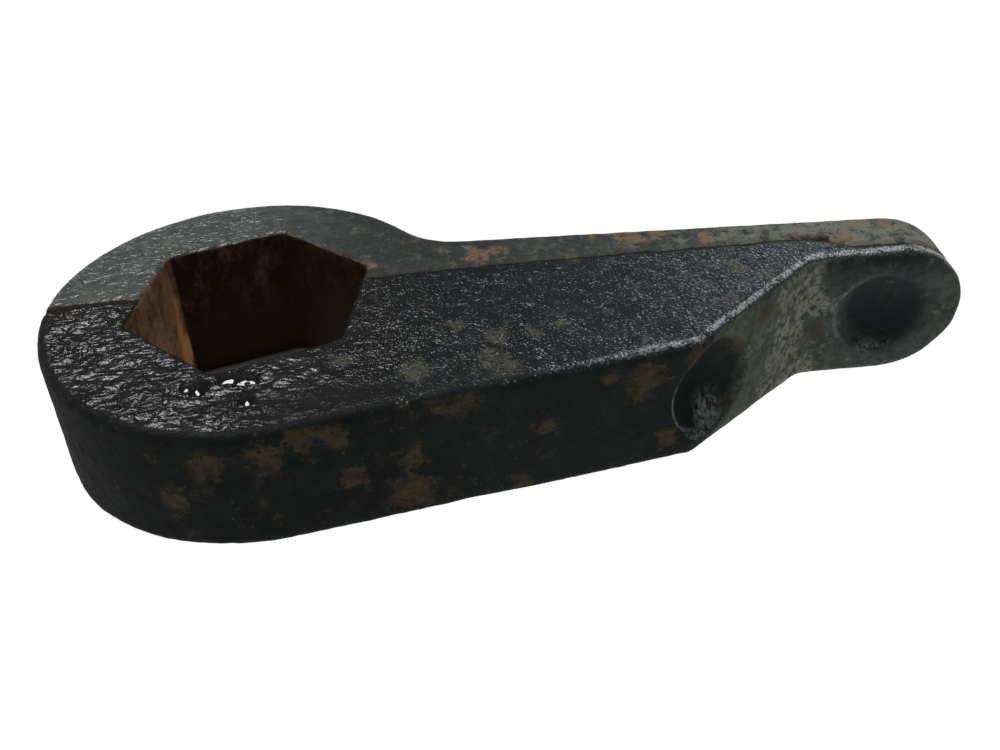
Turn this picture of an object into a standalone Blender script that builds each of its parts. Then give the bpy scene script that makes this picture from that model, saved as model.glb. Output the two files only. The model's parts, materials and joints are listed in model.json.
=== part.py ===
"""Torsion-bar adjusting arm: one drop-forged steel lever.

A round hub with a through hexagon socket, an arm that tapers along +X, a sloped step down to a
thinner, round-ended tip, and a ball cup in the slope and in the tip.  The two forging dies parted
along an upright plane through the hub and the arm, so the top and the bottom each fall away from
that plane on both sides.

Shapes are drawn about the socket's axis at half thickness.  An empty on that point carries them,
and puts the origin of the whole part at the middle of its footprint, on its underside.
"""

import math

import bmesh
import bpy
from mathutils import Vector

# Driving dimensions, in metres and degrees.
HEX_ACROSS_FLATS = 0.0365
HEX_CORNER_ANGLE = math.radians(15.2)
HUB_RADIUS = 0.0348
HUB_CENTRE = Vector((-0.0005, -0.0017))
HALF_THICKNESS = 0.0136

PARTING_PLANE_Y = 0.0014
NEAR_DRAFT = math.radians(3.1)
FAR_DRAFT = math.radians(0.25)

NEAR_SIDE_TAPER = math.radians(8.2)
FAR_SIDE_TAPER = math.radians(4.85)
FAR_SIDE_OFFSET = 0.0152
HUB_FILLET = 0.012

KNEE_X = 0.0725
SHOULDER = Vector((0.0982, -0.0067))
KNEE_ROUND = 0.004
SHOULDER_FILLET = 0.007
TIP_FACE_TAPER = math.radians(-1.2)
TIP_END_X = 0.1280

TIP_CUP_X = 0.1124
TIP_CUP_BALL = 0.0097
TIP_CUP_RIM = 0.0083
KNEE_CUP_BALL = 0.0115
KNEE_CUP_STANDOFF = 0.0059
KNEE_CUP_ALONG_SLOPE = 0.0050

EDGE_ROUND = 0.0017
EDGE_ROUND_SEGMENTS = 3
ARC_STEP = math.radians(5.0)
BALL_SEGMENTS = 48
CUTTER_MARGIN = 0.008

STEEL_COLOUR = (0.035, 0.042, 0.045, 1.0)
STEEL_ROUGHNESS = 0.45
STEEL_METALLIC = 0.55

# Values that follow from the driving dimensions.
NEAR_NORMAL = Vector((math.sin(NEAR_SIDE_TAPER), -math.cos(NEAR_SIDE_TAPER)))
FAR_NORMAL = Vector((math.sin(FAR_SIDE_TAPER), math.cos(FAR_SIDE_TAPER)))
FAR_DIRECTION = Vector((math.cos(FAR_SIDE_TAPER), -math.sin(FAR_SIDE_TAPER)))
TIP_DIRECTION = Vector((math.cos(TIP_FACE_TAPER), math.sin(TIP_FACE_TAPER)))
NEAR_SIDE_OFFSET = HUB_RADIUS + NEAR_NORMAL.dot(HUB_CENTRE)
KNEE = Vector((KNEE_X, (NEAR_SIDE_OFFSET - KNEE_X * NEAR_NORMAL.x) / NEAR_NORMAL.y))
SLOPE_DIRECTION = (SHOULDER - KNEE).normalized()
SLOPE_NORMAL = Vector((SLOPE_DIRECTION.y, -SLOPE_DIRECTION.x))


def remove_scene_objects():
    """Start from an empty scene."""
    for scene_object in list(bpy.data.objects):
        bpy.data.objects.remove(scene_object)


def arc(centre, radius, start, end):
    """Points from one angle to another about a centre, both ends included."""
    steps = max(2, math.ceil(abs(end - start) / ARC_STEP))
    angles = (start + (end - start) * i / steps for i in range(steps + 1))
    return [centre + radius * Vector((math.cos(a), math.sin(a))) for a in angles]


def rounded_corner(corner, arriving, leaving, radius):
    """The arc that rounds a corner between two straight stretches, given by their directions."""
    turn = arriving.cross(leaving)
    inward = Vector((-arriving.y, arriving.x)) * math.copysign(1.0, turn)
    setback = radius * math.tan(arriving.angle(leaving) / 2.0)
    centre = corner - setback * arriving + radius * inward
    first = math.atan2(-inward.y, -inward.x)
    swept = math.copysign(arriving.angle(leaving), turn)
    return arc(centre, radius, first, first + swept)


def point_on_line(point, direction, x):
    """Where a line through a point reaches the given x."""
    return point + direction * ((x - point.x) / direction.x)


def plan_outline():
    """The arm seen from above, anticlockwise from where the near side leaves the hub."""
    near_direction = Vector((-NEAR_NORMAL.y, NEAR_NORMAL.x))
    end_x = TIP_END_X + CUTTER_MARGIN
    outline = rounded_corner(KNEE, near_direction, SLOPE_DIRECTION, KNEE_ROUND)
    outline += rounded_corner(SHOULDER, SLOPE_DIRECTION, TIP_DIRECTION, SHOULDER_FILLET)
    outline.append(point_on_line(SHOULDER, TIP_DIRECTION, end_x))
    outline.append(point_on_line(FAR_NORMAL * FAR_SIDE_OFFSET, FAR_DIRECTION, end_x))

    # The fillet between the far side and the hub touches both.
    from_line = FAR_SIDE_OFFSET + HUB_FILLET - FAR_NORMAL.dot(HUB_CENTRE)
    from_axis = HUB_RADIUS + HUB_FILLET
    along = math.sqrt(from_axis ** 2 - from_line ** 2)
    to_fillet = FAR_NORMAL * from_line + FAR_DIRECTION * along
    touches_line = math.atan2(-FAR_NORMAL.y, -FAR_NORMAL.x)
    touches_hub = math.atan2(-to_fillet.y, -to_fillet.x)
    outline += arc(HUB_CENTRE + to_fillet, HUB_FILLET, touches_line, touches_hub)

    hub_start = math.atan2(to_fillet.y, to_fillet.x)
    hub_end = 2.0 * math.pi + math.atan2(NEAR_NORMAL.y, NEAR_NORMAL.x)
    outline += arc(HUB_CENTRE, HUB_RADIUS, hub_start, hub_end)[1:]
    return outline


def profile_loop(half_height):
    """The arm seen from the side, as (x, z): straight top and bottom with a round tip end."""
    centre = Vector((TIP_END_X - HALF_THICKNESS, 0.0))
    start_x = HUB_CENTRE.x - HUB_RADIUS - CUTTER_MARGIN
    tip = arc(centre, half_height, -math.pi / 2.0, math.pi / 2.0)
    return [Vector((start_x, -half_height))] + tip + [Vector((start_x, half_height))]


def new_object(name, mesh_builder, carrier):
    """A named object from a bmesh, carried by the given empty."""
    mesh = bpy.data.meshes.new(name)
    bmesh.ops.recalc_face_normals(mesh_builder, faces=mesh_builder.faces[:])
    mesh_builder.to_mesh(mesh)
    mesh_builder.free()
    made = bpy.data.objects.new(name, mesh)
    bpy.context.scene.collection.objects.link(made)
    made.parent = carrier
    return made


def extruded(loop, low, high):
    """A closed outline of 3-D points raised from one height to another."""
    builder = bmesh.new()
    verts = [builder.verts.new((point.x, point.y, low)) for point in loop]
    base = builder.faces.new(verts)
    raised = bmesh.ops.extrude_face_region(builder, geom=[base])["geom"]
    top = [item for item in raised if isinstance(item, bmesh.types.BMVert)]
    bmesh.ops.translate(builder, verts=top, vec=(0.0, 0.0, high - low))
    return builder


def make_blank(carrier):
    """The plan outline as an upright prism, taller than the finished arm."""
    reach = HALF_THICKNESS + CUTTER_MARGIN
    return new_object("forged_arm", extruded(plan_outline(), -reach, reach), carrier)


def make_drafted_profile(carrier):
    """The side profile, shrinking away from the parting plane on both sides."""
    builder = bmesh.new()
    reach = HUB_RADIUS + CUTTER_MARGIN
    stations = [(PARTING_PLANE_Y - reach, HALF_THICKNESS - reach * math.tan(NEAR_DRAFT)),
                (PARTING_PLANE_Y, HALF_THICKNESS),
                (PARTING_PLANE_Y + reach, HALF_THICKNESS - reach * math.tan(FAR_DRAFT))]
    rings = []
    for y, half_height in stations:
        verts = [builder.verts.new((p.x, y, p.y)) for p in profile_loop(half_height)]
        pairs = zip(verts, verts[1:] + verts[:1])
        rings.append([builder.edges.new(pair) for pair in pairs])
    for first, second in zip(rings, rings[1:]):
        bmesh.ops.bridge_loops(builder, edges=first + second)
    bmesh.ops.contextual_create(builder, geom=rings[0])
    bmesh.ops.contextual_create(builder, geom=rings[-1])
    return as_cutter(new_object("drafted_profile", builder, carrier))


def make_hexagon_cutter(carrier):
    """A hexagonal prism that runs right through the hub."""
    corner_radius = HEX_ACROSS_FLATS / math.sqrt(3.0)
    angles = (HEX_CORNER_ANGLE + math.radians(60.0 * i) for i in range(6))
    corners = [corner_radius * Vector((math.cos(a), math.sin(a))) for a in angles]
    reach = HALF_THICKNESS + CUTTER_MARGIN
    return as_cutter(new_object("hexagon_cutter", extruded(corners, -reach, reach), carrier))


def make_ball_cutter(name, centre, radius, carrier):
    """A ball that leaves a round cup where it meets the arm."""
    builder = bmesh.new()
    bmesh.ops.create_uvsphere(builder, u_segments=BALL_SEGMENTS, v_segments=BALL_SEGMENTS // 2,
                              radius=radius)
    ball = as_cutter(new_object(name, builder, carrier))
    ball.location = (centre.x, centre.y, 0.0)
    return ball


def tip_cup_centre():
    """The tip ball sits outside the tip face by what its rim needs."""
    on_face = point_on_line(SHOULDER, TIP_DIRECTION, TIP_CUP_X)
    outward = Vector((TIP_DIRECTION.y, -TIP_DIRECTION.x))
    return on_face + outward * math.sqrt(TIP_CUP_BALL ** 2 - TIP_CUP_RIM ** 2)


def knee_cup_centre():
    """The knee ball sits outside the slope, a little way along it from the knee."""
    return KNEE + SLOPE_DIRECTION * KNEE_CUP_ALONG_SLOPE + SLOPE_NORMAL * KNEE_CUP_STANDOFF


def as_cutter(guide):
    """Keep a shape in the file as a wire guide that is never part of the model."""
    guide.hide_render = True
    guide.display_type = 'WIRE'
    return guide


def add_boolean(target, tool, operation):
    """Cut a shape with another, or keep what they share."""
    modifier = target.modifiers.new(tool.name, 'BOOLEAN')
    modifier.operation = operation
    modifier.solver = 'EXACT'
    modifier.object = tool


def add_edge_round(target):
    """Round the edges between the flanks and the drafted faces."""
    modifier = target.modifiers.new("edge_round", 'BEVEL')
    modifier.limit_method = 'ANGLE'
    modifier.angle_limit = math.radians(40.0)
    modifier.width = EDGE_ROUND
    modifier.segments = EDGE_ROUND_SEGMENTS


def forged_steel():
    """Dark, oiled forging skin."""
    material = bpy.data.materials.new("forged_steel")
    material.use_nodes = True
    shader = material.node_tree.nodes["Principled BSDF"]
    shader.inputs["Base Color"].default_value = STEEL_COLOUR
    shader.inputs["Roughness"].default_value = STEEL_ROUGHNESS
    shader.inputs["Metallic"].default_value = STEEL_METALLIC
    material.diffuse_color = STEEL_COLOUR
    return material


def bake_modifiers(target):
    """Turn the modifier stack into the object's own mesh, smooth where it is round."""
    bpy.context.view_layer.update()
    evaluated = target.evaluated_get(bpy.context.evaluated_depsgraph_get())
    finished = bpy.data.meshes.new_from_object(evaluated)
    target.modifiers.clear()
    target.data = finished
    finished.shade_smooth()
    finished.set_sharp_from_angle(angle=math.radians(30.0))


def make_forged_arm(carrier):
    """The whole lever, cut from its blank as the dies and the broach leave it."""
    arm = make_blank(carrier)
    add_boolean(arm, make_drafted_profile(carrier), 'INTERSECT')
    add_edge_round(arm)
    add_boolean(arm, make_hexagon_cutter(carrier), 'DIFFERENCE')
    tip_cup = make_ball_cutter("tip_cup_cutter", tip_cup_centre(), TIP_CUP_BALL, carrier)
    knee_cup = make_ball_cutter("knee_cup_cutter", knee_cup_centre(), KNEE_CUP_BALL, carrier)
    add_boolean(arm, tip_cup, 'DIFFERENCE')
    add_boolean(arm, knee_cup, 'DIFFERENCE')
    bake_modifiers(arm)
    arm.data.materials.clear()
    arm.data.materials.append(forged_steel())


def main():
    """Build the part with its origin under the middle of its footprint."""
    remove_scene_objects()
    carrier = bpy.data.objects.new("socket_axis", None)
    middle_x = (HUB_CENTRE.x - HUB_RADIUS + TIP_END_X) / 2.0
    carrier.location = (-middle_x, -HUB_CENTRE.y, HALF_THICKNESS)
    bpy.context.scene.collection.objects.link(carrier)
    make_forged_arm(carrier)


main()
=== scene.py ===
"""Looks of a torsion bar adjusting arm: its forged skin, its weathered finish and a studio stage."""

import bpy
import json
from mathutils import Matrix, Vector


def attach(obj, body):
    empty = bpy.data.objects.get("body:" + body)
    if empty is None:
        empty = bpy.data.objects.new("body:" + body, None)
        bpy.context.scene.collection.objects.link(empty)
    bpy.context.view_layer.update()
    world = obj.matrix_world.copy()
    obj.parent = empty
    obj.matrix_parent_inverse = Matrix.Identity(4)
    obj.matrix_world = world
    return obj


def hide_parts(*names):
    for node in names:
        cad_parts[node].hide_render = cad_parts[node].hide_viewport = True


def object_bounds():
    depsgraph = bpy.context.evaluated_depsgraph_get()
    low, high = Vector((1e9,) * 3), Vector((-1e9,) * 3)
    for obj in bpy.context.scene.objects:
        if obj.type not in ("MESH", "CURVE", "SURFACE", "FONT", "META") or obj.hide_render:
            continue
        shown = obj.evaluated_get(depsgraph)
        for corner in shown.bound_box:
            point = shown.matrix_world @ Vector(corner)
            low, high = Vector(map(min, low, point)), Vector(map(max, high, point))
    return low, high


bl_info = {
    "name": "Torsion Bar Adjusting Arm",
    "version": (1, 0, 0),
    "blender": (4, 5, 0),
    "location": "3D View > Sidebar > Adjusting Arm",
    "description": "Forged skin, weathered steel finish and studio stage for an adjusting arm",
    "category": "Object",
}

import json
import math

import bmesh
import bpy
import numpy as np
from bpy.props import FloatProperty, FloatVectorProperty, IntProperty, PointerProperty
from mathutils import Matrix, Vector, noise

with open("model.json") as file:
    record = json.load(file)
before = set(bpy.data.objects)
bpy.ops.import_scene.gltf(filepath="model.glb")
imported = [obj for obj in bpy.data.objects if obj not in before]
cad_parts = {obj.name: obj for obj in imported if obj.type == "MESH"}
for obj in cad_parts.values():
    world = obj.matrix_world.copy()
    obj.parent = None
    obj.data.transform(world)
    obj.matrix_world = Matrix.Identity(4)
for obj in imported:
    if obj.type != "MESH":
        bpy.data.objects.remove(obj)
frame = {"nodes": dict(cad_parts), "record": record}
CAD_LOW, CAD_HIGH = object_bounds()

MM = 0.001
ARM_NODE = "forged_arm"
SKIN_NAME = "forged_skin"

MOUNTS = {mount["name"]: mount for mount in frame["record"]["mounts"]}
OPENINGS = {gap["name"]: gap for gap in frame["record"]["physics"]["openings"]}


def opening_centre(name):
    """The middle of one of the arm's openings, in metres."""
    low, high = OPENINGS[name]["box_m"]
    return (np.array(low) + np.array(high)) / 2


def parting_line_y():
    """Where the tapered near half of the top meets the level far half."""
    top = MOUNTS["topside_near"]
    x, y, z = top["pos_m"]
    rise = CAD_HIGH.z - z
    return y - top["axis"][2] * rise / top["axis"][1]


SOCKET = opening_centre("hexagon_socket")
KNEE_CUP = opening_centre("knee_cup")
TIP_CUP = opening_centre("tip_cup")
SLOPE_NORMAL = np.array(MOUNTS["slope_face"]["axis"])
SOCKET_FLATS = [MOUNTS[f"socket_flat_{n}"] for n in range(1, 7)]
PARTING_Y = parting_line_y()
HALF_THICKNESS = CAD_HIGH.z / 2

# Radius of each cup's rim, and where the bright run of rust comes down in the socket, in millimetres.
KNEE_RIM = 9.2
TIP_RIM = 8.4
RUN_Y = SOCKET[1] / MM + 13.2

# Stands for a distance too far off to matter.
FAR_OFF = 50 * MM

# How far the parting line drifts to the near side along the arm, and once more beside the lap.
ARM_DRIFT = 1.4 * MM
LAP_DRIFT = 4.2 * MM

# Where the far half laps over the near half beside the tip, and the middle of the tear in that lap.
LAP_START = 53 * MM
LAP_END = 61 * MM
LAP_TEAR = np.array((54.2, 1.6, 27.0)) * MM

# Round places on the surface, listed one by one: x, y, z and radius in millimetres.
OIL_DROPS = ((-54, -22.3, 26, 2.3), (-48.5, -20.8, 26, 2.4), (-46, -21.5, 26, 2), (-46, -26.5, 25.7, 1.5))
BROWN_RUST = (
    (-13.5, -30, 23, 4.5), (-22, -31.6, 14, 4), (-22, -31.6, 8, 5.5), (0.5, -28, 14.5, 2.6), (-4, -29, 4, 3),
    (17, -26, 20, 5.5), (21, -25, 7, 3.2), (11, -27, 22, 1.8), (-38, -34, 22.5, 4), (-33, -33, 21.5, 3.5),
    (-43, -34.5, 20, 5), (-53, -34, 19, 4.5), (-31, -33, 13, 3.5), (-17, -30.5, 24, 4), (-58, -32, 12, 4),
    (35.5, -16, 18, 2.6), (33.5, -17, 6.5, 1.9), (41, -13, 22, 3.2), (55, -5, 10.5, 3), (26, -24.5, 23, 3.5),
    (-60, 30, 14, 6), (-38, 34, 9, 6), (-18, 26, 18, 6), (8, 11, 10, 5), (34, 9, 17, 5), (-78, 8, 14, 6),
)
TAN_RUST = (
    (-6.5, 7, 27, 4.2), (-3, 8, 27, 3), (22, 7.5, 27, 4), (27, 8, 27, 3), (10.5, 2.6, 27, 2),
    (16, 9.5, 27, 2.2), (-6, -17.5, 26, 3.2), (-7.5, -22.5, 26, 3.4), (0, -17, 26, 2.4), (-12, -13, 26, 2.6),
    (5, -16, 26, 2), (-5.5, -26, 25.6, 3.4), (-20, -23.6, 25.8, 3.6), (17.5, -22, 25.8, 2),
    (34, -14, 26.3, 2.4), (38, -5, 26.8, 3), (42, -7.5, 26.6, 2.6), (64, 6, 27, 3.6), (35, 4.6, 27, 2.6),
    (-31, -19.5, 26, 2.6),
    (-25, 7, 27, 1.8), (59, 0.5, 27, 3.2), (68, 4, 27, 2.4), (-49, 19.5, 27, 1.3), (-40, -8, 1, 5),
    (-10, -20, 1, 6), (30, 0, 0, 5), (-62, -14, 0.5, 6), (-20, 20, 0, 6), (62, 2, 0, 4),
)


# ---------------------------------------------------------------- settings


class SkinSettings(bpy.types.PropertyGroup):
    """Sizes of the forged surface."""

    face_size: FloatProperty(
        name="Face size", description="Width of one face of the skin",
        default=0.45 * MM, subtype="DISTANCE", unit="LENGTH",
    )
    triangle_budget: IntProperty(
        name="Triangles", description="Most triangles the finished skin may have", default=192000
    )
    allowance: FloatProperty(
        name="Allowance", description="How far the skin starts inside the arm, to leave room for lumps",
        default=0.15 * MM, subtype="DISTANCE", unit="LENGTH",
    )
    lump_height: FloatProperty(
        name="Lump height", description="Height of the lumps on the rough half of the top",
        default=0.21 * MM, subtype="DISTANCE", unit="LENGTH",
    )
    grain_height: FloatProperty(
        name="Grain height", description="Height of the fine unevenness all over",
        default=0.05 * MM, subtype="DISTANCE", unit="LENGTH",
    )
    wave_height: FloatProperty(
        name="Wave height", description="Height of the broad waves that hammering leaves",
        default=0.16 * MM, subtype="DISTANCE", unit="LENGTH",
    )
    seam_depth: FloatProperty(
        name="Parting line depth", description="Depth of the line where the two die halves met",
        default=0.50 * MM, subtype="DISTANCE", unit="LENGTH",
    )
    seam_width: FloatProperty(
        name="Parting line width", description="Half the width of that line",
        default=0.42 * MM, subtype="DISTANCE", unit="LENGTH",
    )
    seam_lip: FloatProperty(
        name="Parting line lip", description="Height of the trimmed flash beside the line",
        default=0.16 * MM, subtype="DISTANCE", unit="LENGTH",
    )
    tear_depth: FloatProperty(
        name="Tear depth", description="Depth of the torn lap near the tip",
        default=0.9 * MM, subtype="DISTANCE", unit="LENGTH",
    )
    wave_width: FloatProperty(
        name="Wave width", description="Width of the broad waves",
        default=9 * MM, subtype="DISTANCE", unit="LENGTH",
    )
    grain_width: FloatProperty(
        name="Grain width", description="Width of the fine unevenness",
        default=1.7 * MM, subtype="DISTANCE", unit="LENGTH",
    )
    lump_width: FloatProperty(
        name="Lump width", description="Width of the lumps round the socket",
        default=1.4 * MM, subtype="DISTANCE", unit="LENGTH",
    )
    pock_width: FloatProperty(
        name="Pock width", description="Width of the smaller lumps towards the tip",
        default=0.95 * MM, subtype="DISTANCE", unit="LENGTH",
    )
    pit_spacing: FloatProperty(
        name="Pit spacing", description="How far apart the pits are",
        default=2.6 * MM, subtype="DISTANCE", unit="LENGTH",
    )
    dent_spacing: FloatProperty(
        name="Dent spacing", description="How far apart the dents are",
        default=3.4 * MM, subtype="DISTANCE", unit="LENGTH",
    )
    pit_depth: FloatProperty(
        name="Pit depth", description="Depth of the pits in the near half's top",
        default=0.16 * MM, subtype="DISTANCE", unit="LENGTH",
    )
    dent_depth: FloatProperty(
        name="Dent depth", description="Depth of the dents in the sides",
        default=0.12 * MM, subtype="DISTANCE", unit="LENGTH",
    )
    drop_height: FloatProperty(
        name="Oil drop height", description="Height of the standing drops of oil",
        default=0.42 * MM, subtype="DISTANCE", unit="LENGTH",
    )
    tip_step: FloatProperty(
        name="Tip step", description="How far the near half stands out past the far half at the tip",
        default=0.70 * MM, subtype="DISTANCE", unit="LENGTH",
    )


def colour_setting(name, description, default):
    """A colour property with no alpha."""
    return FloatVectorProperty(
        name=name, description=description, default=default, subtype="COLOR", size=3, min=0, max=1
    )


class FinishSettings(bpy.types.PropertyGroup):
    """Colours of the weathered steel, some of them painted glints, highlights and shade."""

    wet_black: colour_setting("Oily black", "Oil-wet scale round the socket", (0.0055, 0.0060, 0.0062))
    blue_grey: colour_setting("Blue grey", "Scale on the rough half of the arm", (0.010, 0.014, 0.017))
    dry_grey: colour_setting("Dry grey", "Dry scale on the smooth half of the top", (0.036, 0.042, 0.039))
    side_black: colour_setting("Side black", "Old paint on the sides", (0.0050, 0.0072, 0.0063))
    end_olive: colour_setting("End olive", "Dusty paint on the sloping end", (0.056, 0.064, 0.050))
    tip_grey: colour_setting("Tip grey", "Paint round the cup at the tip", (0.058, 0.073, 0.075))
    pale_dust: colour_setting("Pale dust", "Dry dust and chalky paint", (0.145, 0.152, 0.126))
    rust_brown: colour_setting("Rust brown", "Cloudy old rust on the sides", (0.060, 0.041, 0.022))
    rust_bright: colour_setting("Bright rust", "Fresh rust beside the parting line", (0.090, 0.056, 0.035))
    rust_tan: colour_setting("Rust tan", "Dry rust on the smooth half", (0.18, 0.115, 0.068))
    rust_olive: colour_setting("Rust olive", "Dull rust on the rough half", (0.064, 0.060, 0.043))
    bore_red: colour_setting("Socket red", "Dark rust inside the socket", (0.026, 0.012, 0.007))
    # Socket brown and socket orange are rust colours made bright enough to stand for light on the wall facing
    # +x as well: partly painted light.
    bore_brown: colour_setting("Socket brown", "Brown rust inside the socket", (0.42, 0.235, 0.135))
    bore_orange: colour_setting("Socket orange", "Bright run of rust inside the socket", (0.85, 0.38, 0.12))
    neck_black: colour_setting("Neck black", "Dark scale between hub and arm", (0.0020, 0.0024, 0.0024))
    side_specks: colour_setting("Side specks", "Pale specks on the sides", (0.060, 0.075, 0.075))
    tip_black: colour_setting("Tip black", "Dark paint along the top of the tip", (0.010, 0.013, 0.016))
    # Painted shade: the insides of the two cups are darkened in colour where shade falls.
    knee_cup_shade: colour_setting("Knee hollow", "Inside of the cup at the knee", (0.0075, 0.0105, 0.0115))
    tip_cup_shade: colour_setting("Tip hollow", "Inside of the cup at the tip", (0.016, 0.021, 0.023))
    groove_black: colour_setting("Groove black", "Bottom of the parting line", (0.006, 0.003, 0.002))
    tear_red: colour_setting("Tear red", "Edge of the torn lap", (0.085, 0.035, 0.018))
    tear_black: colour_setting("Tear black", "Bottom of the torn lap", (0.014, 0.005, 0.003))
    # Painted glints: a golden colour for the glints on the socket's rim at its right corner, over the rust
    # there.
    golden_glint: colour_setting("Rim gold", "Bright rust at the socket's right corner", (0.42, 0.30, 0.19))
    # Painted glints: bright specks in colour that stand in for light glinting off the near half of the arm.
    sparkle: colour_setting("Sparkle", "Bright specks on the near half of the arm", (0.18, 0.205, 0.225))
    # Worn steel on the edges. This colour also paints the highlights on the arm's front edge and cup rims and
    # a reflection in the knee cup.
    bare_steel_highlight: colour_setting("Bare steel", "Steel that wear has laid bare", (0.40, 0.42, 0.43))


class StageSettings(bpy.types.PropertyGroup):
    """The studio round the arm."""

    table_glow: FloatProperty(
        name="Table glow", description="How brightly the white light table shines",
        default=1.0, min=0, subtype="FACTOR",
    )
    table_size: FloatProperty(
        name="Table size", description="Width of the light table",
        default=6.0, subtype="DISTANCE", unit="LENGTH",
    )
    pad_radius: FloatProperty(
        name="Pad radius", description="Radius of the paper disc under the socket",
        default=25 * MM, subtype="DISTANCE", unit="LENGTH",
    )
    room_light: FloatProperty(
        name="Room light", description="Strength of the even light all round",
        default=0.12, min=0, subtype="FACTOR",
    )
    light_tint: colour_setting("Light tint", "Colour of the even light", (0.97, 0.985, 1.0))
    pad_colour: colour_setting("Pad colour", "White of the paper disc", (0.85, 0.85, 0.85))
    key_size: FloatProperty(
        name="Key size", description="Width of the soft box above and behind",
        default=0.75, subtype="DISTANCE", unit="LENGTH",
    )
    key_place: FloatVectorProperty(
        name="Key place", description="Where the soft box hangs",
        default=(-0.30, 0.42, 1.95), subtype="TRANSLATION", unit="LENGTH",
    )
    fill_size: FloatProperty(
        name="Fill size", description="Width of the broad light from the left",
        default=1.2, subtype="DISTANCE", unit="LENGTH",
    )
    fill_place: FloatVectorProperty(
        name="Fill place", description="Where the broad light hangs",
        default=(-1.6, 0.2, 0.9), subtype="TRANSLATION", unit="LENGTH",
    )
    key_power: FloatProperty(
        name="Key light", description="Power of the soft box above and behind",
        default=40.0, subtype="POWER", unit="POWER",
    )
    fill_power: FloatProperty(
        name="Fill light", description="Power of the broad light from the left",
        default=0.6, subtype="POWER", unit="POWER",
    )
    lens: FloatProperty(
        name="Lens", description="Focal length of the camera, in millimetres",
        default=41.06, subtype="DISTANCE_CAMERA",
    )
    camera_place: FloatVectorProperty(
        name="Camera place", description="Where the camera stands", default=(-0.02261, -0.16843, 0.13194),
        subtype="TRANSLATION", unit="LENGTH",
    )
    camera_azimuth: FloatProperty(
        name="Azimuth", description="Turn of the camera about the upright", default=math.radians(-6.38),
        subtype="ANGLE", unit="ROTATION",
    )
    camera_elevation: FloatProperty(
        name="Elevation", description="How far the camera looks down", default=math.radians(36.84),
        subtype="ANGLE", unit="ROTATION",
    )
    camera_roll: FloatProperty(
        name="Roll", description="Tilt of the camera about its own line of sight",
        default=math.radians(-2.35), subtype="ANGLE", unit="ROTATION",
    )


# ---------------------------------------------------------------- shape of the skin


def ease(value, low, high):
    """0 below low, 1 above high and a smooth rise between."""
    t = np.clip((value - low) / (high - low), 0, 1)
    return t * t * (3 - 2 * t)


def hump(distance, width):
    """1 at no distance, falling smoothly to 0 at about two widths."""
    return np.exp(-((distance / width) ** 2))


def waves(points, size, octaves=2, stretch=(1, 1, 1), shift=0.0):
    """Smooth random heights between about -1 and 1 whose features are size wide."""
    scaled = points / (size * np.array(stretch)) + shift
    return np.array([noise.fractal(p, 1.0, 2.0, octaves) for p in scaled.tolist()])


def pits(points, size, shift=0.0):
    """1 at the middle of each of the random cells and 0 at their borders."""
    scaled = points / size + shift
    nearest = np.array([noise.voronoi(p)[0][0] for p in scaled.tolist()])
    return 1 - ease(nearest, 0.0, 0.45)


class Surface:
    """The vertices of a mesh as arrays, with what sculpting needs."""

    def __init__(self, mesh):
        self.mesh = mesh
        count = len(mesh.vertices)
        self.points = np.zeros(count * 3)
        mesh.vertices.foreach_get("co", self.points)
        self.points = self.points.reshape(-1, 3)
        edges = np.zeros(len(mesh.edges) * 2, np.int64)
        mesh.edges.foreach_get("vertices", edges)
        self.edges = edges.reshape(-1, 2)
        self.neighbours = np.bincount(edges, minlength=count)
        self.normals = self.read_normals()

    def read_normals(self):
        """The direction each vertex faces."""
        normals = np.zeros(len(self.points) * 3)
        self.mesh.vertex_normals.foreach_get("vector", normals)
        return normals.reshape(-1, 3)

    def average(self, values):
        """Each vertex's values averaged over the vertices next to it."""
        a, b = self.edges[:, 0], self.edges[:, 1]
        total = np.zeros_like(values)
        for column in range(values.shape[1]):
            total[:, column] += np.bincount(a, values[b, column], len(values))
            total[:, column] += np.bincount(b, values[a, column], len(values))
        return total / self.neighbours[:, None]

    def relax(self, times, amount=0.5):
        """Smooths the points, by an amount that may differ from vertex to vertex."""
        share = np.broadcast_to(amount, len(self.points))[:, None]
        for _ in range(times):
            self.points += share * (self.average(self.points) - self.points)

    def write(self):
        """Puts the points back into the mesh and reads the new normals."""
        self.mesh.vertices.foreach_set("co", self.points.ravel())
        self.mesh.update()
        self.normals = self.read_normals()

    def store(self, name, values):
        """Keeps a number for each vertex, for the finish to read."""
        layer = self.mesh.attributes.get(name) or self.mesh.attributes.new(name, "FLOAT", "POINT")
        layer.data.foreach_set("value", values.astype(np.float32))


def seam_distance(points):
    """Distance from the wandering parting line, above 0 on its far side.

    Beside the tip the line swings to the near edge.
    """
    x = points[:, 0]
    along = np.zeros_like(points)
    along[:, 0] = x
    along[:, 2] = points[:, 2] * 0.3
    wander = waves(along, 11 * MM, 3) * 0.40 * MM
    drift = ARM_DRIFT * ease(x, 0, 50 * MM) + LAP_DRIFT * ease(x, LAP_START, LAP_END)
    return points[:, 1] - PARTING_Y - wander + drift


def nearness(points, places):
    """For each point, 1 at the middle of the closest of the round places and 0 from their borders on."""
    best = np.zeros(len(points))
    for x, y, z, radius in places:
        distance = np.linalg.norm(points - np.array((x, y, z)) * MM, axis=1)
        best = np.maximum(best, 1 - distance / (radius * MM))
    return best


def socket_depth(points):
    """How far each point is inside the socket's hexagon, below 0 outside it."""
    inside = np.full(len(points), 1.0)
    for flat in SOCKET_FLATS:
        offset = points[:, :2] - np.array(flat["pos_m"][:2])
        inside = np.minimum(inside, offset @ np.array(flat["axis"][:2]))
    return inside


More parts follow.
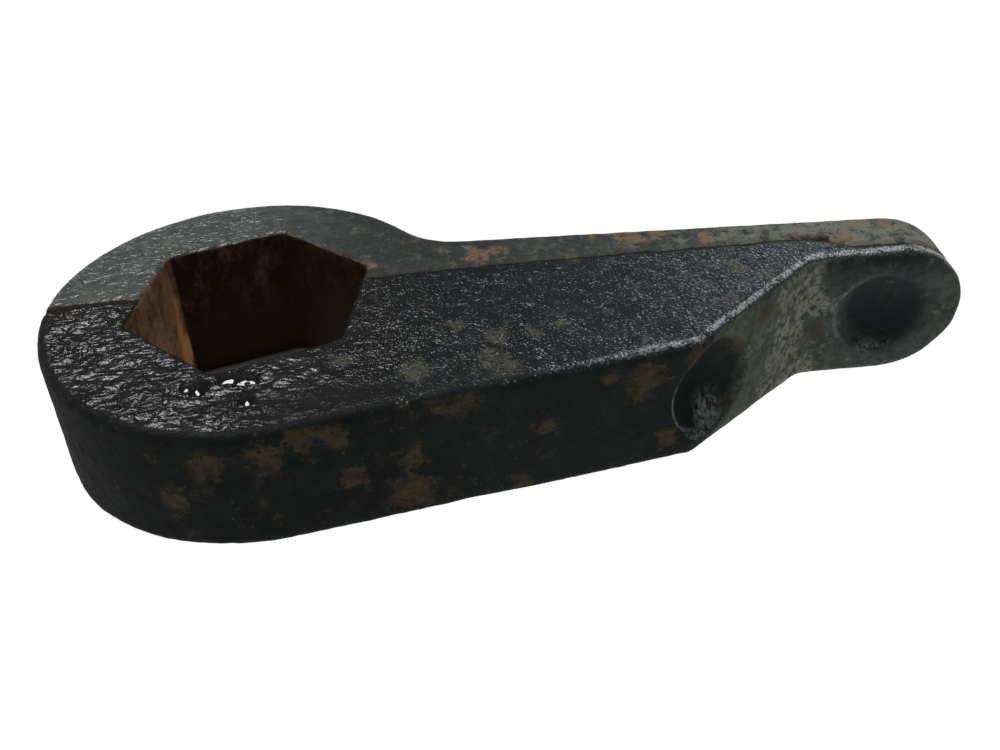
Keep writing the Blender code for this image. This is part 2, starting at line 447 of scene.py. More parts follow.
def base_regions(surface):
    """Where each part of the arm is, from the plain shape: a dictionary of weights from 0 to 1."""
    points, normals = surface.points, surface.normals
    x, y, z = points.T
    up = normals[:, 2]
    seam = seam_distance(points)
    inside = socket_depth(points)
    by_socket = np.hypot(x - SOCKET[0], y - SOCKET[1]) < 24 * MM
    near = ease(-seam, -0.2 * MM, 0.2 * MM)
    top = ease(up, 0.45, 0.8)
    bottom = ease(-up, 0.45, 0.8)
    bore = ease(inside, -0.5 * MM, -0.15 * MM) * (1 - ease(np.abs(up), 0.5, 0.8)) * by_socket
    rim = hump(inside, 0.9 * MM) * by_socket * (1 - hump(z - HALF_THICKNESS, 9 * MM))
    down_slope = np.array((-SLOPE_NORMAL[1], SLOPE_NORMAL[0], 0))
    knee = np.hypot((points - KNEE_CUP) @ down_slope, z - KNEE_CUP[2])
    knee = np.where((x > 18 * MM) & (x < 50 * MM) & (y < -8 * MM), knee, FAR_OFF)
    tip = np.hypot(x - TIP_CUP[0], z - TIP_CUP[2])
    tip = np.where(y < 1 * MM, tip, FAR_OFF)
    return {
        "seam": seam, "inside": inside, "near": near, "top": top, "bottom": bottom, "bore": bore, "rim": rim,
        "knee": knee, "tip": tip, "up": up,
    }


def sculpt(surface, settings):
    """Moves the even faces into the forged, pitted and worn surface."""
    region = base_regions(surface)
    surface.relax(14, region["rim"] * 0.55)
    surface.relax(8, hump(region["tip"] - (TIP_RIM - 0.1) * MM, 1.2 * MM) * 0.5)
    surface.write()
    region = base_regions(surface)
    points, normals = surface.points, surface.normals
    x, y, z = points.T
    seam, near, top, bottom = region["seam"], region["near"], region["top"], region["bottom"]
    flat = np.maximum(top, bottom) * (1 - region["bore"])
    level = flat * ease(np.abs(region["up"]), 0.94, 0.99)
    side = 1 - np.maximum(top, bottom)
    hub = 1 - ease(x, -42 * MM, -18 * MM)
    toward_tip = ease(x, 5 * MM, 60 * MM)
    out_of_cups = ease(region["tip"], 9 * MM, 10.5 * MM)

    height = settings.wave_height * waves(points, settings.wave_width, 2) * (0.35 + 0.65 * near)
    height += settings.grain_height * waves(points, settings.grain_width, 2, shift=7.3)
    lumps = waves(points, settings.lump_width, 2, stretch=(1.6, 1, 1), shift=3.1)
    height += settings.lump_height * lumps * level * hub * (0.6 + 0.4 * near)
    pocks = waves(points, settings.pock_width, 1, shift=13.7)
    height += 0.5 * settings.lump_height * pocks * level * near * (0.25 + 0.75 * toward_tip) * (1 - hub)
    pitted = flat * near * ease(waves(points, 7 * MM, 1, shift=5), 0.0, 0.15)
    height -= settings.pit_depth * pits(points, settings.pit_spacing) * pitted
    dented = side * ease(waves(points, 9 * MM, 1, shift=8), 0.05, 0.2)
    height -= settings.dent_depth * pits(points, settings.dent_spacing, 2.0) * dented

    on_line = (flat + side * 0.5 * (1 - region["bore"])) * out_of_cups
    depth = settings.seam_depth * (0.75 + 0.5 * waves(points, 6 * MM, 2, shift=1.5))
    width = settings.seam_width * (1 + 0.5 * ease(-x, 55 * MM, 65 * MM))
    height -= depth * hump(seam, width) * on_line
    lip = hump(seam - 1.0 * MM, 0.8 * MM) * (0.6 + 0.8 * waves(points, 3 * MM, 2, shift=4.4))
    height += settings.seam_lip * lip * flat * out_of_cups
    height -= settings.tear_depth * lap_tear(points) * top
    oil = oil_cover(points)
    height += ease(oil, 0, 0.15) * top * (settings.drop_height * (1 - (1 - oil) ** 2) - height)

    surface.points = points + normals * (height - settings.allowance)[:, None]
    end = ease(x, CAD_HIGH.x - 4.0 * MM, CAD_HIGH.x - 0.5 * MM)
    surface.points[:, 0] += settings.tip_step * end * ease(-seam, -0.4 * MM, 0.4 * MM)
    room = np.array((settings.tip_step, 0, 0))
    surface.points = np.clip(surface.points, np.array(CAD_LOW), np.array(CAD_HIGH) + room)


def lap_tear(points):
    """How deep in the torn lap near the tip each point is, from 0 to 1."""
    ragged = waves(points, 1.8 * MM, 3, shift=6.1)
    across = (points[:, 1] - (LAP_TEAR[1] - 0.35 * (points[:, 0] - LAP_TEAR[0]))) / (1.1 * MM)
    along = (points[:, 0] - LAP_TEAR[0]) / (4.2 * MM)
    return 1 - ease(np.hypot(across, along) + 0.7 * ragged, 0.35, 1.0)


def even_mesh(settings):
    """A copy of the CAD arm, merged and given even faces."""
    mesh = frame["nodes"][ARM_NODE].data.copy()
    mesh.name = SKIN_NAME
    mesh.materials.clear()
    shell = bmesh.new()
    shell.from_mesh(mesh)
    bmesh.ops.remove_doubles(shell, verts=shell.verts, dist=MM / 1000)
    bmesh.ops.recalc_face_normals(shell, faces=shell.faces)
    shell.to_mesh(mesh)
    shell.free()
    skin = bpy.data.objects.new(SKIN_NAME, mesh)
    bpy.context.scene.collection.objects.link(skin)
    remesh = skin.modifiers.new("even_faces", "REMESH")
    remesh.mode = "VOXEL"
    remesh.voxel_size = settings.face_size
    soften = skin.modifiers.new("soften", "SMOOTH")
    soften.factor = 0.5
    soften.iterations = 4
    apply_modifiers(skin)
    return skin


def apply_modifiers(piece):
    """Makes the mesh that the modifiers give the piece's own."""
    depsgraph = bpy.context.evaluated_depsgraph_get()
    finished = bpy.data.meshes.new_from_object(piece.evaluated_get(depsgraph))
    finished.name = piece.name
    piece.modifiers.clear()
    piece.data = finished


def thin_faces(piece, budget):
    """Merges the smallest faces on the smooth stretches until the piece is within its budget."""
    triangles = sum(len(face.vertices) - 2 for face in piece.data.polygons)
    if triangles <= budget:
        return
    thin = piece.modifiers.new("thin_faces", "DECIMATE")
    thin.ratio = budget / triangles
    apply_modifiers(piece)


def oil_cover(points):
    """How far inside a standing drop of oil each point is, 0 from its ragged border on."""
    middle = nearness(points, OIL_DROPS)
    ragged = waves(points, 1.5 * MM, 2, shift=9.1)
    return np.clip(middle + 0.5 * ragged - 0.05, 0, 1) * (middle > 0)


def store_regions(surface):
    """Keeps the places that the finish paints by."""
    region = base_regions(surface)
    surface.store("across_seam", region["seam"] / MM)
    surface.store("inside_socket", region["inside"] / MM)
    surface.store("bore", region["bore"])
    surface.store("knee_cup", region["knee"] / MM)
    surface.store("tip_cup", region["tip"] / MM)
    surface.store("brown_rust", nearness(surface.points, BROWN_RUST))
    surface.store("tan_rust", nearness(surface.points, TAN_RUST))
    surface.store("oil_drop", oil_cover(surface.points))
    surface.store("tear", lap_tear(surface.points))


# ---------------------------------------------------------------- shader arithmetic


class Value:
    """A number that varies over the surface; sums on it add the Math nodes that work them out."""

    def __init__(self, paint, socket):
        self.paint = paint
        self.socket = socket

    def sum(self, operation, *terms):
        """The result of one Math node."""
        return self.paint.value("Math", {"operation": operation}, dict(enumerate(terms)))

    def __add__(self, other):
        return self.sum("ADD", self, other)

    __radd__ = __add__

    def __mul__(self, other):
        return self.sum("MULTIPLY", self, other)

    __rmul__ = __mul__

    def __sub__(self, other):
        return self.sum("SUBTRACT", self, other)

    def __rsub__(self, other):
        return self.sum("SUBTRACT", other, self)

    def __abs__(self):
        return self.sum("ABSOLUTE", self)

    def ease(self, low, high):
        """0 below low, 1 above high and a smooth rise between; low may be the larger."""
        settings = {"interpolation_type": "SMOOTHSTEP"}
        if low > high:
            return 1 - self.ease(high, low)
        return self.paint.value("MapRange", settings, {"Value": self, "From Min": low, "From Max": high})

    def at_most(self, other):
        """The smaller of the two."""
        return self.sum("MINIMUM", self, other)

    def at_least(self, other):
        """The larger of the two."""
        return self.sum("MAXIMUM", self, other)


class Paint:
    """Adds nodes to a material's tree."""

    def __init__(self, tree):
        self.tree = tree
        tree.nodes.clear()
        self.place = self.node("TexCoord").outputs["Object"]

    def node(self, kind, settings=None, sockets=None):
        """Any node: its type, its settings, which are set first, and its sockets' values or links."""
        made = self.tree.nodes.new("ShaderNode" + kind)
        for name, value in (settings or {}).items():
            setattr(made, name, value)
        for name, value in (sockets or {}).items():
            socket = made.inputs[name]
            if isinstance(value, Value):
                self.tree.links.new(value.socket, socket)
            elif isinstance(value, bpy.types.NodeSocket):
                self.tree.links.new(value, socket)
            else:
                socket.default_value = value
        return made

    def value(self, kind, settings=None, sockets=None, output=0):
        """One output of a new node, as a number that takes part in sums."""
        return Value(self, self.node(kind, settings, sockets).outputs[output])

    def parts(self, vector):
        """The three parts of a vector."""
        made = self.node("SeparateXYZ", None, {"Vector": vector})
        return [Value(self, made.outputs[axis]) for axis in "XYZ"]

    def stored(self, name):
        """A number kept on the mesh."""
        return self.value("Attribute", {"attribute_name": name}, output="Fac")

    def scaled(self, size, stretch=(1, 1, 1), shift=0.0):
        """The place on the arm, measured in features of that size."""
        scale = tuple(1 / (size * s) for s in stretch)
        sockets = {"Vector": self.place, "Scale": scale, "Location": (shift, shift * 1.7, shift * 0.6)}
        return self.node("Mapping", None, sockets).outputs["Vector"]

    def cloud(self, size, detail=3.0, roughness=0.55, stretch=(1, 1, 1), shift=0.0, distortion=0.0):
        """Soft random blotches between 0 and 1, as wide as size."""
        sockets = {
            "Vector": self.scaled(size, stretch, shift), "Scale": 1.0,
            "Detail": detail, "Roughness": roughness, "Distortion": distortion,
        }
        return self.value("TexNoise", None, sockets, output="Fac")

    def cells(self, size, feature="F1", shift=0.0):
        """Distance within random cells as wide as size."""
        sockets = {"Vector": self.scaled(size, shift=shift), "Scale": 1.0}
        return self.value("TexVoronoi", {"feature": feature}, sockets, output="Distance")

    def blend(self, factor, low, high):
        """One colour turning into another as the factor goes from 0 to 1."""
        made = self.node("Mix", {"data_type": "RGBA"}, {0: factor, 6: opaque(low), 7: opaque(high)})
        return made.outputs[2]

    def bump(self, height, distance, below=None):
        """A normal that follows a height given in shares of the distance."""
        sockets = {"Height": height, "Distance": distance, "Strength": 1.0}
        if below is not None:
            sockets["Normal"] = below
        return self.node("Bump", None, sockets).outputs["Normal"]


def opaque(colour):
    """A colour with its alpha, or a link as it is."""
    return colour if isinstance(colour, bpy.types.NodeSocket) else (*colour, 1.0)


# ---------------------------------------------------------------- the finish


class Places:
    """Where the finish changes: shares from 0 to 1, and distances in millimetres."""

    def __init__(self, paint):
        self.x, self.y, self.z = (part * (1 / MM) for part in paint.parts(paint.place))
        self.toward_x, _, self.up = paint.parts(paint.node("NewGeometry").outputs["Normal"])
        self.seam = paint.stored("across_seam")
        self.inside = paint.stored("inside_socket")
        self.bore = paint.stored("bore")
        self.knee = paint.stored("knee_cup")
        self.tip = paint.stored("tip_cup")
        self.tear = paint.stored("tear")
        self.rounding = paint.stored("rounding")
        self.drop = paint.stored("oil_drop").ease(0.0, 0.1)

        knee_cup = self.knee.ease(KNEE_RIM + 0.6, KNEE_RIM - 0.2)
        tip_cup = self.tip.ease(TIP_RIM + 1.0, TIP_RIM + 0.2)
        self.flat = abs(self.up).ease(0.35, 0.75) * (1 - (knee_cup + tip_cup).at_most(1))
        self.side = 1 - self.flat
        self.far = self.seam.ease(-0.15, 0.25)
        self.near = 1 - self.far
        self.past_tip_cup = self.tip.ease(TIP_RIM + 0.6, TIP_RIM + 1.6)

        self.hub = self.x.ease(-22, -52)
        self.left = self.x.ease(-30, -50)
        self.neck = self.x.ease(-36, -22) * self.x.ease(10, -6)
        self.arm = self.x.ease(-30, -6)
        self.toward_tip = self.x.ease(5, 60)
        self.end = self.x.ease(27, 33) * self.side * self.y.ease(4, -1)
        self.shoulder = abs(self.x - 49).ease(9, 2) * self.end
        self.groove = (abs(self.seam) - self.hub * 0.35).ease(0.36, 0.10) * self.flat * self.past_tip_cup


class Patterns:
    """Random patterns that several colours share, from broad to fine."""

    def __init__(self, paint):
        self.broad = paint.cloud(10 * MM, 2, 0.5, shift=33.0).ease(0.40, 0.58)
        self.middling = paint.cloud(4.5 * MM, 5, 0.62, shift=3.0)
        self.ragged = paint.cloud(2.6 * MM, 8, 0.72, shift=21.0)
        self.fine = paint.cloud(1.4 * MM, 4, 0.65, shift=6.0)
        self.grit = paint.cloud(0.42 * MM, 3, 0.65, shift=11.0)


def shade(colour, factor):
    """A colour made that many times as bright."""
    return tuple(part * factor for part in colour)


def side_colours(paint, settings, at, pattern):
    """Old near-black paint, slightly cloudy, with clusters of pale specks."""
    cloudy = pattern.middling.ease(0.40, 0.66) * 0.5 + at.arm * 0.45
    colour = paint.blend(cloudy, settings.side_black, shade(settings.side_black, 2.2))
    clusters = paint.cloud(9 * MM, 2, shift=63.0).ease(0.58, 0.66)
    specks = paint.cells(1.1 * MM, shift=4.0).ease(0.28, 0.12) * clusters
    return paint.blend(specks * 0.35, colour, settings.side_specks)


def end_colours(paint, settings, at, pattern):
    """Dusty olive on the sloping end, pale and cracked at its shoulder and dark along the top of the tip."""
    fine, ragged = pattern.fine, pattern.ragged
    colour = paint.blend(ragged.ease(0.36, 0.62), settings.end_olive, shade(settings.end_olive, 1.8))
    colour = paint.blend(at.tip.ease(16, 9) * 0.7, colour, settings.tip_grey)
    cracks = paint.cells(2.4 * MM, "DISTANCE_TO_EDGE", shift=2.0) + (fine - 0.5) * 0.4 + (ragged - 0.5) * 0.5
    cracks = cracks.ease(-0.02, 0.14) * 0.75 + 0.25
    patch = (paint.cloud(5 * MM, 6, 0.68, shift=77.0) + at.shoulder * 0.24).ease(0.56, 0.66)
    colour = paint.blend(patch * cracks * fine.ease(0.35, 0.55), colour, shade(settings.pale_dust, 1.3))
    along_top = at.z.ease(19, 25) * at.x.ease(50, 58) * ragged.ease(0.3, 0.5)
    return paint.blend(along_top * 0.85, colour, settings.tip_black)


def top_colours(paint, settings, at, pattern):
    """Dry grey on the far half, dustier to the tip, and oily black on the near half, paler to the tip with a
    painted sheen.
    """
    middling, grit = pattern.middling, pattern.grit
    dry = settings.dry_grey
    dust = (pattern.ragged * 0.75 + grit * 0.25 + at.toward_tip * 0.10 + at.arm * 0.015).ease(0.52, 0.64)
    grey = paint.blend(pattern.fine.ease(0.38, 0.62) * 0.8, dry, shade(dry, 1.6))
    grey = paint.blend(at.left * 0.5, grey, shade(dry, 2.9))
    grey = paint.blend(grit.ease(0.48, 0.70) * 0.75, grey, shade(dry, 0.4))
    grey = paint.blend(middling.ease(0.40, 0.60) * 0.35 + at.neck * 0.3, grey, shade(dry, 0.45))
    grey = paint.blend(dust * (0.50 + 0.50 * at.toward_tip), grey, settings.pale_dust)
    # The near half turns paler on the arm and towards the tip: partly random tone, partly a painted sheen
    # standing in for a broad highlight.
    tone_and_sheen = (middling.ease(0.45, 0.65) * 0.3 + at.toward_tip * 0.5) * at.arm
    black = paint.blend(at.arm, settings.wet_black, settings.blue_grey)
    black = paint.blend(tone_and_sheen, black, shade(settings.blue_grey, 2.0))
    black = paint.blend(at.neck * 0.5, black, settings.neck_black)
    black = paint.blend(at.toward_tip * dust * 0.22, black, settings.pale_dust)
    return paint.blend(at.far, black, grey)


def socket_colours(paint, settings, at):
    """Rust inside the socket: the wall facing +x brown with a bright run beside its corner, both partly
    painted light; the others nearly black.
    """
    blots = paint.cloud(4.0 * MM, 5, 0.65, stretch=(1, 1, 1.6), shift=15.0)
    grain = paint.cloud(1.1 * MM, 4, 0.7, stretch=(1, 1, 1.7), shift=18.0)
    # The wall facing +x gets the bright rust colours: rust, and painted light on that wall.
    rust_and_lit_wall = at.toward_x.ease(0.55, 0.85)
    browned = rust_and_lit_wall * (0.22 + 0.53 * blots.ease(0.36, 0.60) + 0.25 * grain.ease(0.4, 0.6))
    colour = paint.blend(browned, settings.bore_red, settings.bore_brown)
    half_width = at.z.ease(26, 8) * 1.6
    run = (half_width - abs(at.y - RUN_Y - (blots - 0.5) * 4)).ease(-0.6, 0.9)
    colour = paint.blend(run * rust_and_lit_wall * (0.55 + 0.45 * grain), colour, settings.bore_orange)
    stained = blots.ease(0.42, 0.64) * (0.35 + 0.65 * grain.ease(0.42, 0.62)) * at.z.ease(7, 24)
    faint = stained * (1 - rust_and_lit_wall) * (0.10 + 0.26 * at.x.ease(-38, -50))
    return paint.blend(faint, colour, settings.bore_brown)


def add_rust(paint, settings, at, pattern, colour):
    """Rust in patches with ragged, speckled borders; returns the colour and how much rust is where."""
    fine, ragged = pattern.fine, pattern.ragged
    speckle = (ragged - 0.5) * 2.6 + (pattern.grit - 0.5) * 0.9
    stray = paint.cloud(6 * MM, 8, 0.70, shift=35.0).ease(0.60, 0.68) * (1 - at.hub * at.flat)
    brown = (paint.stored("brown_rust") + speckle).ease(0.20, 0.60) * (0.35 + 0.65 * fine.ease(0.36, 0.62))
    brown = (brown + stray * 0.5).at_most(1)
    colour = paint.blend(brown * at.side * 0.85, colour, settings.rust_brown)
    tan = (paint.stored("tan_rust") + speckle).ease(0.22, 0.55) * (0.25 + 0.75 * fine.ease(0.38, 0.60))
    tan = (tan + stray * 0.35).at_most(1)
    top_rust = paint.blend(at.far, settings.rust_olive, settings.rust_tan)
    colour = paint.blend(tan * at.flat * 0.85, colour, top_rust)
    beside_seam = abs(at.seam - 0.6).ease(0.8, 0.15) * at.flat * at.past_tip_cup
    beside_seam = beside_seam * (ragged + at.left * 0.1).ease(0.46, 0.60)
    colour = paint.blend(beside_seam * 0.6, colour, settings.rust_bright)
    return colour, brown, tan


def add_lines(paint, settings, at, pattern, colour):
    """The parting line's dark bottom, the red-brown tear, and the socket with its rusty rim and painted
    golden glints.
    """
    ragged = pattern.ragged
    colour = paint.blend(at.groove * 0.92, colour, settings.groove_black)
    torn = paint.blend(at.tear.ease(0.4, 0.9), settings.tear_red, settings.tear_black)
    colour = paint.blend(at.tear.ease(0.1, 0.5) * at.flat, colour, torn)
    colour = paint.blend(at.bore, colour, socket_colours(paint, settings, at))
    rusty_rim = abs(at.inside + 0.25).ease(0.55, 0.15) * at.flat * at.far * ragged.ease(0.46, 0.60)
    colour = paint.blend(rusty_rim * 0.75, colour, settings.rust_tan)
    # Painted glints: golden specks on the near rim at the socket's right corner.
    right_corner = at.x.ease(-35, -28) * at.y.ease(2, 5)
    golden_glint_mask = abs(at.inside + 0.35).ease(0.9, 0.3) * at.near * (1 - at.bore) * ragged.ease(0.48, 0.56)
    return paint.blend(golden_glint_mask * right_corner * 0.8, colour, settings.golden_glint)


def add_painted_glints(paint, settings, at, pattern, colour):
    """Painted glints: small bright specks on the near half of the arm, closer together to the tip and the
    front edge.
    """
    front_edge = at.rounding.ease(0.003, 0.02) * at.x.ease(0, 14) * 0.10
    near_front = at.y.ease(-12, -24) * at.x.ease(-4, 20) * 0.05
    density = paint.cloud(1.9 * MM, 3, 0.6, shift=91.0) - 0.05 + at.toward_tip * 0.34
    density = density + front_edge + near_front
    specks = (paint.cells(0.60 * MM, shift=29.0) + (pattern.grit - 0.5) * 0.8).ease(0.36, 0.16)
    there = at.near * at.flat * at.x.ease(-36, -24) * (1 - at.bore) * (1 - at.groove)
    return paint.blend(specks * density.ease(0.43, 0.60) * there * 0.85, colour, settings.sparkle)


def add_wear(paint, settings, at, pattern, brown, colour):
    """Worn edges with painted highlights, painted shade in the cups and a painted reflection in the knee cup;
    returns the colour, the edges and the reflection streak.
    """
    fine = pattern.fine
    # Worn front edge of the arm, brightened as a painted highlight where its rounding faces the light.
    rounded = at.rounding.ease(0.006, 0.03) * at.rounding.ease(0.34, 0.16) * at.near * at.up.ease(0.2, 0.5)
    broken = (pattern.grit * 0.45 + fine * 0.25 + pattern.ragged * 0.3).ease(0.46, 0.54)
    edge = rounded * at.x.ease(2, 34) * broken
    # Painted highlight: the left parts of the cup rims are made pale as if they catch the light.
    knee_rim = abs(at.knee - KNEE_RIM).ease(0.5, 0.15) * at.x.ease(29, 25)
    tip_rim = abs(at.tip - TIP_RIM).ease(0.7, 0.2) * at.x.ease(66, 58) * 0.4
    edge = (edge + (knee_rim + tip_rim) * at.side * fine.ease(0.35, 0.6) * 0.45).at_most(1)
    colour = paint.blend(edge * 0.8, colour, settings.bare_steel_highlight)

    # Painted shade: the cups' insides are darkened; the tip cup is darkened further towards its right.
    tip_cup_shade = (at.tip - (at.x - TIP_CUP[0] / MM) * 0.25).ease(TIP_RIM + 0.6, 5.0)
    painted_cup_shade = (at.knee.ease(KNEE_RIM + 0.2, 7.6) + tip_cup_shade).at_most(1) * at.side * (1 - brown * 0.8)
    hollow = paint.blend(at.x.ease(48, 56), settings.knee_cup_shade, settings.tip_cup_shade)
    colour = paint.blend(painted_cup_shade * 0.85, colour, hollow)

    # Painted reflection: a pale, glossy streak low on the left wall of the knee cup.
    streaks = paint.cloud(1.0 * MM, 4, 0.7, stretch=(1, 1, 3.5), shift=57.0)
    low_left = abs(at.x - 30.2).ease(3.6, 1.0) * at.z.ease(11, 6.5)
    reflection_streak = at.knee.ease(KNEE_RIM + 0.2, KNEE_RIM - 0.4) * at.up.ease(0.15, 0.6) * low_left
    reflection_streak = reflection_streak * (streaks + pattern.middling * 0.3).ease(0.52, 0.78)
    return paint.blend(reflection_streak * 0.65, colour, settings.bare_steel_highlight), edge, reflection_streak


def oiled(at, tan):
    """Where oil lies: the near half of the top and part of the hub's far half, but not its front edge."""
    front_rim = at.rounding.ease(0.008, 0.03) * at.near * (1 - at.x.ease(-5, 12))
    front_band = at.y.ease(-21, -27) * at.x.ease(4, -8) * at.x.ease(-52, -40)
    oil = (at.near + at.far * 0.75 * at.hub) * at.flat * (1 - at.bore) * (1 - front_rim * 0.95)
    oil = oil * (1 - tan * 0.75) * (1 - at.groove) * (1 - front_band * 0.8)
    return oil.at_least(at.drop * at.flat)


def wet_normals(paint, at, pattern):
    """Wet wrinkles round the socket, and a fine sparkle towards the tip."""
    long_wrinkles = paint.cloud(1.30 * MM, 1, 0.5, stretch=(1.6, 1, 1), shift=41.0, distortion=0.8)
    short_wrinkles = paint.cloud(0.38 * MM, 2, 0.5, stretch=(1.5, 1, 1), shift=52.0)
    wrinkles = long_wrinkles * 0.88 + short_wrinkles * 0.12
    wrinkled = (0.06 + 0.24 * at.hub + 0.70 * at.left) * (0.55 + 0.45 * pattern.broad) * (1 - at.drop)
    glitter = paint.cloud(0.52 * MM, 2, 0.55, shift=71.0)
    glittering = (0.45 + 0.55 * at.toward_tip) * (1 - at.hub * 0.6) * (1 - at.drop)
    relief = paint.bump(wrinkles * wrinkled, 1.05 * MM)
    return paint.bump(glitter * glittering, 0.38 * MM, relief)


def weathered_steel(settings):
    """The arm's one finish: oily black scale, dry grey scale, old paint, rust and worn edges, with painted
    glints, highlights, sheen, reflection and shade.
    """
    material = bpy.data.materials.new("weathered_forged_steel")
    material.use_nodes = True
    paint = Paint(material.node_tree)
    at = Places(paint)
    pattern = Patterns(paint)
    fine, middling = pattern.fine, pattern.middling

    colour = side_colours(paint, settings, at, pattern)
    dusty = at.end * (0.55 + 0.45 * fine.ease(0.35, 0.6))
    colour = paint.blend(dusty, colour, end_colours(paint, settings, at, pattern))
    colour = paint.blend(at.flat * (1 - at.bore), colour, top_colours(paint, settings, at, pattern))
    colour, brown, tan = add_rust(paint, settings, at, pattern, colour)
    colour = add_lines(paint, settings, at, pattern, colour)
    colour = add_painted_glints(paint, settings, at, pattern, colour)
    colour, edge, reflection_streak = add_wear(paint, settings, at, pattern, brown, colour)

    coarse = paint.bump(middling * 0.5 + fine * 0.5, 0.22 * MM)
    dry = paint.node("BsdfPrincipled", None, {
        "Base Color": colour,
        "Roughness": 0.56 + at.side * 0.2 + fine * 0.15 - edge * 0.25 - reflection_streak * 0.25,
        "Normal": paint.bump(pattern.grit, 0.15 * MM, coarse),
        "Specular IOR Level": 0.12,
    })
    oily = paint.node("BsdfPrincipled", None, {
        "Base Color": colour,
        "Roughness": (0.12 + 0.16 * middling + at.left * 0.08) * (1 - at.drop * 0.7),
        "Normal": wet_normals(paint, at, pattern),
        "Specular IOR Level": 0.42,
    })
    mixed = paint.node("MixShader", None, {0: oiled(at, tan), 1: dry.outputs[0], 2: oily.outputs[0]})
    paint.node("OutputMaterial", None, {"Surface": mixed.outputs[0]})
    return material


# ---------------------------------------------------------------- operators


class ADJUSTING_ARM_OT_forged_skin(bpy.types.Operator):
    """Shape and finish the forged skin that stands for the CAD arm"""

    bl_idname = "adjusting_arm.forged_skin"
    bl_label = "Forged skin"
    bl_options = {"REGISTER", "UNDO"}

    def execute(self, context):
        settings = context.scene.arm_skin
        skin = even_mesh(settings)
        surface = Surface(skin.data)
        surface.store("rounding", 1 - np.abs(surface.normals[:, 2]))
        sculpt(surface, settings)
        surface.write()
        thin_faces(skin, settings.triangle_budget)
        surface = Surface(skin.data)
        store_regions(surface)
        skin.data.shade_smooth()
        skin.data.materials.append(weathered_steel(context.scene.arm_finish))
        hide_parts(ARM_NODE)
        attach(skin, "root")
        return {"FINISHED"}


def soft_box(name, power, size, place):
    """A square area light at a place, turned to the arm."""
    light = bpy.data.lights.new(name, "AREA")
    light.energy = power
    light.shape = "SQUARE"
    light.size = size
    box = bpy.data.objects.new(name, light)
    box.location = place
    box.rotation_mode = "QUATERNION"
    box.rotation_quaternion = (-Vector(place)).to_track_quat("-Z", "Y")
    bpy.context.scene.collection.objects.link(box)
    return box


def lay_floor(settings):
    """A plain white light table under the arm."""
    mesh = bpy.data.meshes.new("floor")
    sheet = bmesh.new()
    bmesh.ops.create_grid(sheet, x_segments=1, y_segments=1, size=settings.table_size / 2)
    sheet.to_mesh(mesh)
    sheet.free()
    floor = bpy.data.objects.new("floor", mesh)
    bpy.context.scene.collection.objects.link(floor)
    material = bpy.data.materials.new("light_table")
    material.use_nodes = True
    surface = material.node_tree.nodes["Principled BSDF"]
    surface.inputs["Base Color"].default_value = (0, 0, 0, 1)
    surface.inputs["Specular IOR Level"].default_value = 0
    surface.inputs["Emission Color"].default_value = (1, 1, 1, 1)
    surface.inputs["Emission Strength"].default_value = settings.table_glow
    mesh.materials.append(material)
    lay_pad(settings)


def lay_pad(settings):
    """A paper disc that keeps the light table from shining up through the socket."""
    mesh = bpy.data.meshes.new("paper_pad")
    disc = bmesh.new()
    bmesh.ops.create_circle(disc, cap_ends=True, segments=48, radius=settings.pad_radius)
    disc.to_mesh(mesh)
    disc.free()
    pad = bpy.data.objects.new("paper_pad", mesh)
    just_above_table = 0.05 * MM
    pad.location = (SOCKET[0], SOCKET[1], just_above_table)
    bpy.context.scene.collection.objects.link(pad)
    material = bpy.data.materials.new("pad_paper")
    material.use_nodes = True
    paper = material.node_tree.nodes["Principled BSDF"]
    paper.inputs["Base Color"].default_value = (*settings.pad_colour, 1)
    paper.inputs["Roughness"].default_value = 1
    paper.inputs["Specular IOR Level"].default_value = 0
    mesh.materials.append(material)


def set_camera(settings):
    """A camera that looks down along the arm's near side."""
    data = bpy.data.cameras.new("camera")
    data.lens = settings.lens
    data.sensor_width = 36
    data.clip_start = 0.01
    camera = bpy.data.objects.new("camera", data)
    azimuth, elevation = settings.camera_azimuth, settings.camera_elevation
    back = Vector((
        math.sin(azimuth) * math.cos(elevation), -math.cos(azimuth) * math.cos(elevation), math.sin(elevation)
    ))
    turn = (-back).to_track_quat("-Z", "Y").to_matrix() @ Matrix.Rotation(settings.camera_roll, 3, "Z")
    camera.rotation_mode = "QUATERNION"
    camera.rotation_quaternion = turn.to_quaternion()
    camera.location = settings.camera_place
    bpy.context.scene.collection.objects.link(camera)
    bpy.context.scene.camera = camera


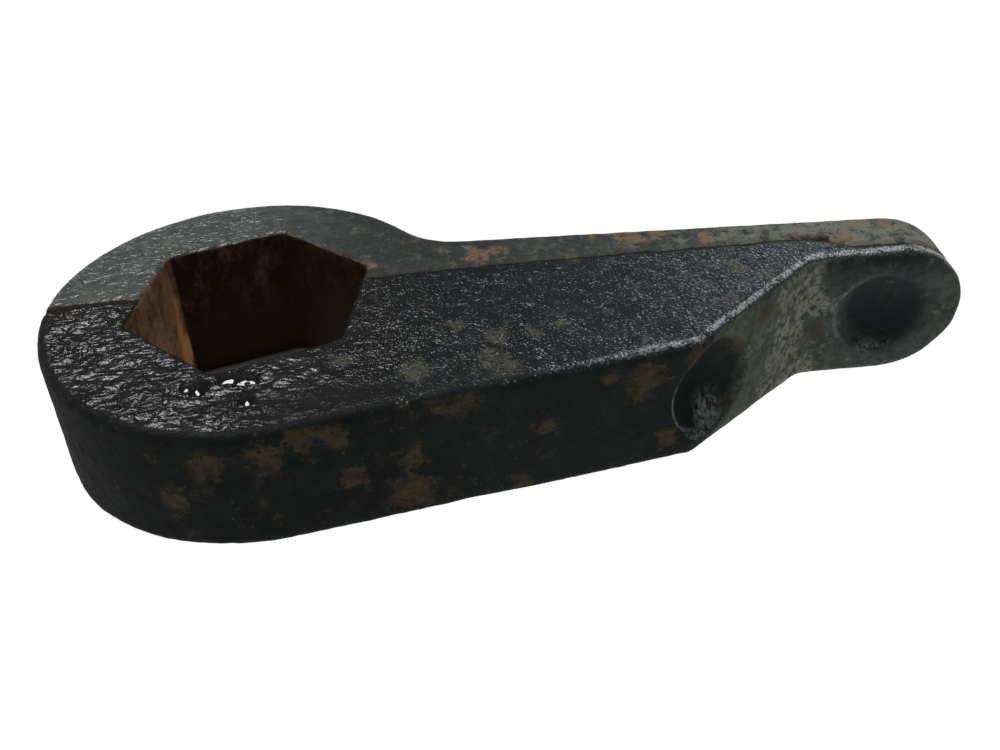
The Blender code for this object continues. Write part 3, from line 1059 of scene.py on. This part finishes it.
def light_room(settings):
    """Even light all round, one soft box above and behind, and a broad weak one from the left."""
    world = bpy.data.worlds.new("studio")
    world.use_nodes = True
    air = world.node_tree.nodes["Background"]
    air.inputs["Color"].default_value = (*settings.light_tint, 1)
    air.inputs["Strength"].default_value = settings.room_light
    bpy.context.scene.world = world
    soft_box("key_light", settings.key_power, settings.key_size, settings.key_place)
    soft_box("fill_light", settings.fill_power, settings.fill_size, settings.fill_place)


class ADJUSTING_ARM_OT_stage(bpy.types.Operator):
    """Set the floor, the lights and the camera"""

    bl_idname = "adjusting_arm.stage"
    bl_label = "Studio stage"
    bl_options = {"REGISTER", "UNDO"}

    def execute(self, context):
        settings = context.scene.arm_stage
        lay_floor(settings)
        light_room(settings)
        set_camera(settings)
        context.scene.view_settings.view_transform = "Standard"
        return {"FINISHED"}


class ADJUSTING_ARM_PT_panel(bpy.types.Panel):
    """The arm's settings and what makes it"""

    bl_idname = "ADJUSTING_ARM_PT_panel"
    bl_label = "Adjusting Arm"
    bl_space_type = "VIEW_3D"
    bl_region_type = "UI"
    bl_category = "Adjusting Arm"

    def draw(self, context):
        scene = context.scene
        for group, operator in (
            (scene.arm_skin, "adjusting_arm.forged_skin"),
            (scene.arm_finish, None),
            (scene.arm_stage, "adjusting_arm.stage"),
        ):
            box = self.layout.box()
            for name in group.bl_rna.properties.keys():
                if name not in ("rna_type", "name"):
                    box.prop(group, name)
            if operator:
                box.operator(operator)


CLASSES = (
    SkinSettings,
    FinishSettings,
    StageSettings,
    ADJUSTING_ARM_OT_forged_skin,
    ADJUSTING_ARM_OT_stage,
    ADJUSTING_ARM_PT_panel,
)


def register():
    for item in CLASSES:
        bpy.utils.register_class(item)
    bpy.types.Scene.arm_skin = PointerProperty(type=SkinSettings)
    bpy.types.Scene.arm_finish = PointerProperty(type=FinishSettings)
    bpy.types.Scene.arm_stage = PointerProperty(type=StageSettings)


def unregister():
    del bpy.types.Scene.arm_stage
    del bpy.types.Scene.arm_finish
    del bpy.types.Scene.arm_skin
    for item in reversed(CLASSES):
        bpy.utils.unregister_class(item)


def main():
    """Makes everything."""
    register()
    bpy.ops.adjusting_arm.forged_skin()
    bpy.ops.adjusting_arm.stage()


if __name__ == "__main__":
    main()
